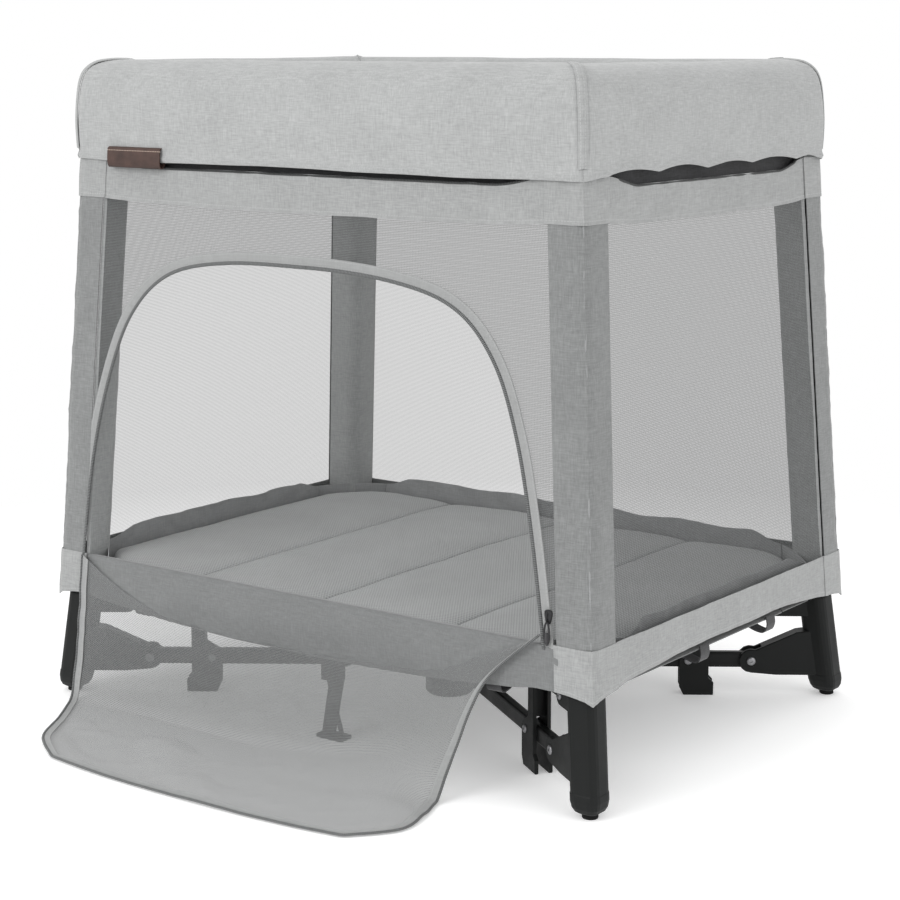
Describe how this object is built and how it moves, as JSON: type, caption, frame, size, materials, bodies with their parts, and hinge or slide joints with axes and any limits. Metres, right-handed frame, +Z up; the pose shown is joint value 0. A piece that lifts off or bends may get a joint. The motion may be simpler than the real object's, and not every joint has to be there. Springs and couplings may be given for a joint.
{
  "type": "travel playpen",
  "caption": "Rectangular folding playpen with splayed corner posts, mesh walls, an arched zip door, a padded rail cover and a folding mattress.",
  "frame": {"origin": "centre of the hub's underside, on the floor", "axes": "+X along the long sides, towards the right of the door seen from outside; +Y from the door to the back; +Z up"},
  "size_m": [0.904, 0.8804, 0.88],
  "materials": {
    "tube_steel": "satin",
    "black_plastic": "matt, fine grain",
    "rubber": "matt",
    "black_metal": "satin black powder coat",
    "mesh_fabric": "open knitted mesh with woven bands",
    "cover_fabric": "woven, padded",
    "floor_fabric": "woven",
    "mattress_fabric": "ribbed knit",
    "zip_metal": "painted",
    "leather": "matt, stitched",
    "button_plastic": "matt"
  },
  "bodies": {
    "post_front_right": {"post_tube_front_right": "tube_steel", "leg_casting_front_right": "black_plastic", "foot_glide_front_right": "rubber", "corner_bracket_front_right": "black_plastic", "wall_front": "mesh_fabric", "wall_back": "mesh_fabric", "wall_left": "mesh_fabric", "wall_right": "mesh_fabric", "rail_cover": "cover_fabric", "floor_tub": "floor_fabric", "door_flap": "mesh_fabric", "leather_tab": "leather"},
    "lower_link_front_right": {"lower_link_front_right": "black_metal"},
    "hub": {"centre_hub": "black_plastic"},
    "lower_link_front_left": {"lower_link_front_left": "black_metal"},
    "post_front_left": {"post_tube_front_left": "tube_steel", "leg_casting_front_left": "black_plastic", "foot_glide_front_left": "rubber", "corner_bracket_front_left": "black_plastic"},
    "lower_link_back_right": {"lower_link_back_right": "black_metal"},
    "post_back_right": {"post_tube_back_right": "tube_steel", "leg_casting_back_right": "black_plastic", "foot_glide_back_right": "rubber", "corner_bracket_back_right": "black_plastic"},
    "lower_link_back_left": {"lower_link_back_left": "black_metal"},
    "post_back_left": {"post_tube_back_left": "tube_steel", "leg_casting_back_left": "black_plastic", "foot_glide_back_left": "rubber", "corner_bracket_back_left": "black_plastic"},
    "upper_link_front_left": {"upper_link_front_left": "black_metal"},
    "mid_foot_front_left": {"mid_foot_front_left": "black_plastic"},
    "upper_link_front_right": {"upper_link_front_right": "black_metal"},
    "mid_foot_front_right": {"mid_foot_front_right": "black_plastic"},
    "upper_link_back_right": {"upper_link_back_right": "black_metal"},
    "mid_foot_back_right": {"mid_foot_back_right": "black_plastic"},
    "upper_link_back_left": {"upper_link_back_left": "black_metal"},
    "mid_foot_back_left": {"mid_foot_back_left": "black_plastic"},
    "rail_long_front_left": {"rail_long_front_left": "tube_steel"},
    "rail_short_front_left": {"rail_short_front_left": "tube_steel"},
    "rail_long_front_right": {"rail_long_front_right": "tube_steel"},
    "rail_short_front_right": {"rail_short_front_right": "tube_steel"},
    "rail_long_back_right": {"rail_long_back_right": "tube_steel"},
    "rail_short_back_right": {"rail_short_back_right": "tube_steel"},
    "rail_long_back_left": {"rail_long_back_left": "tube_steel"},
    "rail_short_back_left": {"rail_short_back_left": "tube_steel"},
    "support_arm_front": {"support_arm_front": "black_metal"},
    "support_leg_front": {"support_leg_front": "black_plastic"},
    "support_arm_back": {"support_arm_back": "black_metal"},
    "support_leg_back": {"support_leg_back": "black_plastic"},
    "mattress_1": {"mattress_panel_1": "mattress_fabric"},
    "mattress_2": {"mattress_panel_2": "mattress_fabric"},
    "mattress_3": {"mattress_panel_3": "mattress_fabric"},
    "mattress_4": {"mattress_panel_4": "mattress_fabric"},
    "release_button_front": {"release_button_front": "button_plastic"},
    "release_button_back": {"release_button_back": "button_plastic"},
    "release_button_left": {"release_button_left": "button_plastic"},
    "release_button_right": {"release_button_right": "button_plastic"},
    "zip_slider": {"zip_slider": "zip_metal"},
    "zip_pull": {"zip_pull": "zip_metal"}
  },
  "joints": [
    {"name": "frame_fold", "type": "hinge", "parent": "post_front_right", "child": "lower_link_front_right", "pos_m": [0.34641, -0.24275, 0.05], "axis": [0.5739, 0.8189, 0], "range_deg": [0, 80], "deforming": ["wall_front", "wall_back", "wall_left", "wall_right", "rail_cover", "floor_tub", "door_flap", "leather_tab", "mattress_panel_1", "mattress_panel_2", "mattress_panel_3", "mattress_panel_4"]},
    {"name": "hub_level", "type": "hinge", "parent": "lower_link_front_right", "child": "hub", "pos_m": [0.04095, -0.02869, 0.05], "axis": [-0.5739, -0.8189, 0], "range_deg": [0, 80]},
    {"name": "lower_link_swing_front_left", "type": "hinge", "parent": "hub", "child": "lower_link_front_left", "pos_m": [-0.04095, -0.02869, 0.05], "axis": [0.5739, -0.8189, 0], "range_deg": [0, 80]},
    {"name": "post_upright_front_left", "type": "hinge", "parent": "lower_link_front_left", "child": "post_front_left", "pos_m": [-0.34641, -0.24275, 0.05], "axis": [-0.5739, 0.8189, 0], "range_deg": [0, 80]},
    {"name": "lower_link_swing_back_right", "type": "hinge", "parent": "hub", "child": "lower_link_back_right", "pos_m": [0.04095, 0.02869, 0.05], "axis": [-0.5739, 0.8189, 0], "range_deg": [0, 80]},
    {"name": "post_upright_back_right", "type": "hinge", "parent": "lower_link_back_right", "child": "post_back_right", "pos_m": [0.34641, 0.24275, 0.05], "axis": [0.5739, -0.8189, 0], "range_deg": [0, 80]},
    {"name": "lower_link_swing_back_left", "type": "hinge", "parent": "hub", "child": "lower_link_back_left", "pos_m": [-0.04095, 0.02869, 0.05], "axis": [-0.5739, -0.8189, 0], "range_deg": [0, 80]},
    {"name": "post_upright_back_left", "type": "hinge", "parent": "lower_link_back_left", "child": "post_back_left", "pos_m": [-0.34641, 0.24275, 0.05], "axis": [0.5739, 0.8189, 0], "range_deg": [0, 80]},
    {"name": "upper_link_swing_front_left", "type": "hinge", "parent": "hub", "child": "upper_link_front_left", "pos_m": [-0.06552, -0.04591, 0.128], "axis": [0.5739, -0.8189, 0], "range_deg": [0, 80]},
    {"name": "mid_foot_upright_front_left", "type": "hinge", "parent": "lower_link_front_left", "child": "mid_foot_front_left", "pos_m": [-0.27434, -0.19225, 0.05], "axis": [-0.5739, 0.8189, 0], "range_deg": [0, 80]},
    {"name": "upper_link_swing_front_right", "type": "hinge", "parent": "hub", "child": "upper_link_front_right", "pos_m": [0.06552, -0.04591, 0.128], "axis": [0.5739, 0.8189, 0], "range_deg": [0, 80]},
    {"name": "mid_foot_upright_front_right", "type": "hinge", "parent": "lower_link_front_right", "child": "mid_foot_front_right", "pos_m": [0.27434, -0.19225, 0.05], "axis": [-0.5739, -0.8189, 0], "range_deg": [0, 80]},
    {"name": "upper_link_swing_back_right", "type": "hinge", "parent": "hub", "child": "upper_link_back_right", "pos_m": [0.06552, 0.04591, 0.128], "axis": [-0.5739, 0.8189, 0], "range_deg": [0, 80]},
    {"name": "mid_foot_upright_back_right", "type": "hinge", "parent": "lower_link_back_right", "child": "mid_foot_back_right", "pos_m": [0.27434, 0.19225, 0.05], "axis": [0.5739, -0.8189, 0], "range_deg": [0, 80]},
    {"name": "upper_link_swing_back_left", "type": "hinge", "parent": "hub", "child": "upper_link_back_left", "pos_m": [-0.06552, 0.04591, 0.128], "axis": [-0.5739, -0.8189, 0], "range_deg": [0, 80]},
    {"name": "mid_foot_upright_back_left", "type": "hinge", "parent": "lower_link_back_left", "child": "mid_foot_back_left", "pos_m": [-0.27434, 0.19225, 0.05], "axis": [0.5739, 0.8189, 0], "range_deg": [0, 80]},
    {"name": "rail_long_front_left_fold", "type": "hinge", "parent": "post_front_left", "child": "rail_long_front_left", "pos_m": [-0.30546, -0.25501, 0.86], "axis": [0, 1, 0], "range_deg": [0, 80]},
    {"name": "rail_short_front_left_fold", "type": "hinge", "parent": "post_front_left", "child": "rail_short_front_left", "pos_m": [-0.36338, -0.21406, 0.86], "axis": [-1, 0, 0], "range_deg": [0, 80]},
    {"name": "rail_long_front_right_fold", "type": "hinge", "parent": "post_front_right", "child": "rail_long_front_right", "pos_m": [0.30546, -0.25501, 0.86], "axis": [0, -1, 0], "range_deg": [0, 80]},
    {"name": "rail_short_front_right_fold", "type": "hinge", "parent": "post_front_right", "child": "rail_short_front_right", "pos_m": [0.36338, -0.21406, 0.86], "axis": [-1, 0, 0], "range_deg": [0, 80]},
    {"name": "rail_long_back_right_fold", "type": "hinge", "parent": "post_back_right", "child": "rail_long_back_right", "pos_m": [0.30546, 0.25501, 0.86], "axis": [0, -1, 0], "range_deg": [0, 80]},
    {"name": "rail_short_back_right_fold", "type": "hinge", "parent": "post_back_right", "child": "rail_short_back_right", "pos_m": [0.36338, 0.21406, 0.86], "axis": [1, 0, 0], "range_deg": [0, 80]},
    {"name": "rail_long_back_left_fold", "type": "hinge", "parent": "post_back_left", "child": "rail_long_back_left", "pos_m": [-0.30546, 0.25501, 0.86], "axis": [0, 1, 0], "range_deg": [0, 80]},
    {"name": "rail_short_back_left_fold", "type": "hinge", "parent": "post_back_left", "child": "rail_short_back_left", "pos_m": [-0.36338, 0.21406, 0.86], "axis": [1, 0, 0], "range_deg": [0, 80]},
    {"name": "support_arm_swing_front", "type": "hinge", "parent": "hub", "child": "support_arm_front", "pos_m": [0, -0.047, 0.1], "axis": [1, 0, 0], "range_deg": [0, 80]},
    {"name": "support_leg_upright_front", "type": "hinge", "parent": "support_arm_front", "child": "support_leg_front", "pos_m": [0, -0.258, 0.1], "axis": [-1, 0, 0], "range_deg": [0, 80]},
    {"name": "support_arm_swing_back", "type": "hinge", "parent": "hub", "child": "support_arm_back", "pos_m": [0, 0.047, 0.1], "axis": [-1, 0, 0], "range_deg": [0, 80]},
    {"name": "support_leg_upright_back", "type": "hinge", "parent": "support_arm_back", "child": "support_leg_back", "pos_m": [0, 0.258, 0.1], "axis": [1, 0, 0], "range_deg": [0, 80]},
    {"name": "mattress_fold_2", "type": "hinge", "parent": "hub", "child": "mattress_2", "pos_m": [0, 0, 0.1985], "axis": [0, 1, 0], "range_deg": [0, 80]},
    {"name": "mattress_fold_3", "type": "hinge", "parent": "hub", "child": "mattress_3", "pos_m": [0, 0, 0.1985], "axis": [0, -1, 0], "range_deg": [0, 80]},
    {"name": "mattress_fold_1", "type": "hinge", "parent": "mattress_2", "child": "mattress_1", "pos_m": [-0.21385, 0, 0.1545], "axis": [0, -1, 0], "range_deg": [0, 160]},
    {"name": "mattress_fold_4", "type": "hinge", "parent": "mattress_3", "child": "mattress_4", "pos_m": [0.21385, 0, 0.1545], "axis": [0, 1, 0], "range_deg": [0, 160]},
    {"name": "release_button_front_press", "type": "slide", "parent": "rail_long_front_right", "child": "release_button_front", "axis": [0, 0, 1], "range_m": [0, 0.004], "stiffness_N_per_m": 300},
    {"name": "release_button_back_press", "type": "slide", "parent": "rail_long_back_right", "child": "release_button_back", "axis": [0, 0, 1], "range_m": [0, 0.004], "stiffness_N_per_m": 300},
    {"name": "release_button_left_press", "type": "slide", "parent": "rail_short_back_left", "child": "release_button_left", "axis": [0, 0, 1], "range_m": [0, 0.004], "stiffness_N_per_m": 300},
    {"name": "release_button_right_press", "type": "slide", "parent": "rail_short_back_right", "child": "release_button_right", "axis": [0, 0, 1], "range_m": [0, 0.004], "stiffness_N_per_m": 300},
    {"name": "zip_slide", "type": "slide", "parent": "post_front_right", "child": "zip_slider", "axis": [-0.208, 0.0454, 0.9771], "range_m": [0, 0.12]},
    {"name": "zip_pull_swing", "type": "hinge", "parent": "zip_slider", "child": "zip_pull", "pos_m": [0.38053, -0.32424, 0.2345], "axis": [-1, 0, 0], "range_deg": [0, 160]}
  ],
  "couplings": [
    {"joint": "hub_level", "follows": "frame_fold", "ratio": 1},
    {"joint": "lower_link_swing_front_left", "follows": "frame_fold", "ratio": 1},
    {"joint": "post_upright_front_left", "follows": "frame_fold", "ratio": 1},
    {"joint": "lower_link_swing_back_right", "follows": "frame_fold", "ratio": 1},
    {"joint": "post_upright_back_right", "follows": "frame_fold", "ratio": 1},
    {"joint": "lower_link_swing_back_left", "follows": "frame_fold", "ratio": 1},
    {"joint": "post_upright_back_left", "follows": "frame_fold", "ratio": 1},
    {"joint": "upper_link_swing_front_left", "follows": "frame_fold", "ratio": 1},
    {"joint": "mid_foot_upright_front_left", "follows": "frame_fold", "ratio": 1},
    {"joint": "upper_link_swing_front_right", "follows": "frame_fold", "ratio": 1},
    {"joint": "mid_foot_upright_front_right", "follows": "frame_fold", "ratio": 1},
    {"joint": "upper_link_swing_back_right", "follows": "frame_fold", "ratio": 1},
    {"joint": "mid_foot_upright_back_right", "follows": "frame_fold", "ratio": 1},
    {"joint": "upper_link_swing_back_left", "follows": "frame_fold", "ratio": 1},
    {"joint": "mid_foot_upright_back_left", "follows": "frame_fold", "ratio": 1},
    {"joint": "rail_long_front_left_fold", "follows": "frame_fold", "ratio": 1},
    {"joint": "rail_short_front_left_fold", "follows": "frame_fold", "ratio": 1},
    {"joint": "rail_long_front_right_fold", "follows": "frame_fold", "ratio": 1},
    {"joint": "rail_short_front_right_fold", "follows": "frame_fold", "ratio": 1},
    {"joint": "rail_long_back_right_fold", "follows": "frame_fold", "ratio": 1},
    {"joint": "rail_short_back_right_fold", "follows": "frame_fold", "ratio": 1},
    {"joint": "rail_long_back_left_fold", "follows": "frame_fold", "ratio": 1},
    {"joint": "rail_short_back_left_fold", "follows": "frame_fold", "ratio": 1},
    {"joint": "support_arm_swing_front", "follows": "frame_fold", "ratio": 1},
    {"joint": "support_leg_upright_front", "follows": "frame_fold", "ratio": 1},
    {"joint": "support_arm_swing_back", "follows": "frame_fold", "ratio": 1},
    {"joint": "support_leg_upright_back", "follows": "frame_fold", "ratio": 1},
    {"joint": "mattress_fold_2", "follows": "frame_fold", "ratio": 1},
    {"joint": "mattress_fold_3", "follows": "frame_fold", "ratio": 1},
    {"joint": "mattress_fold_1", "follows": "frame_fold", "ratio": 2},
    {"joint": "mattress_fold_4", "follows": "frame_fold", "ratio": 2}
  ]
}
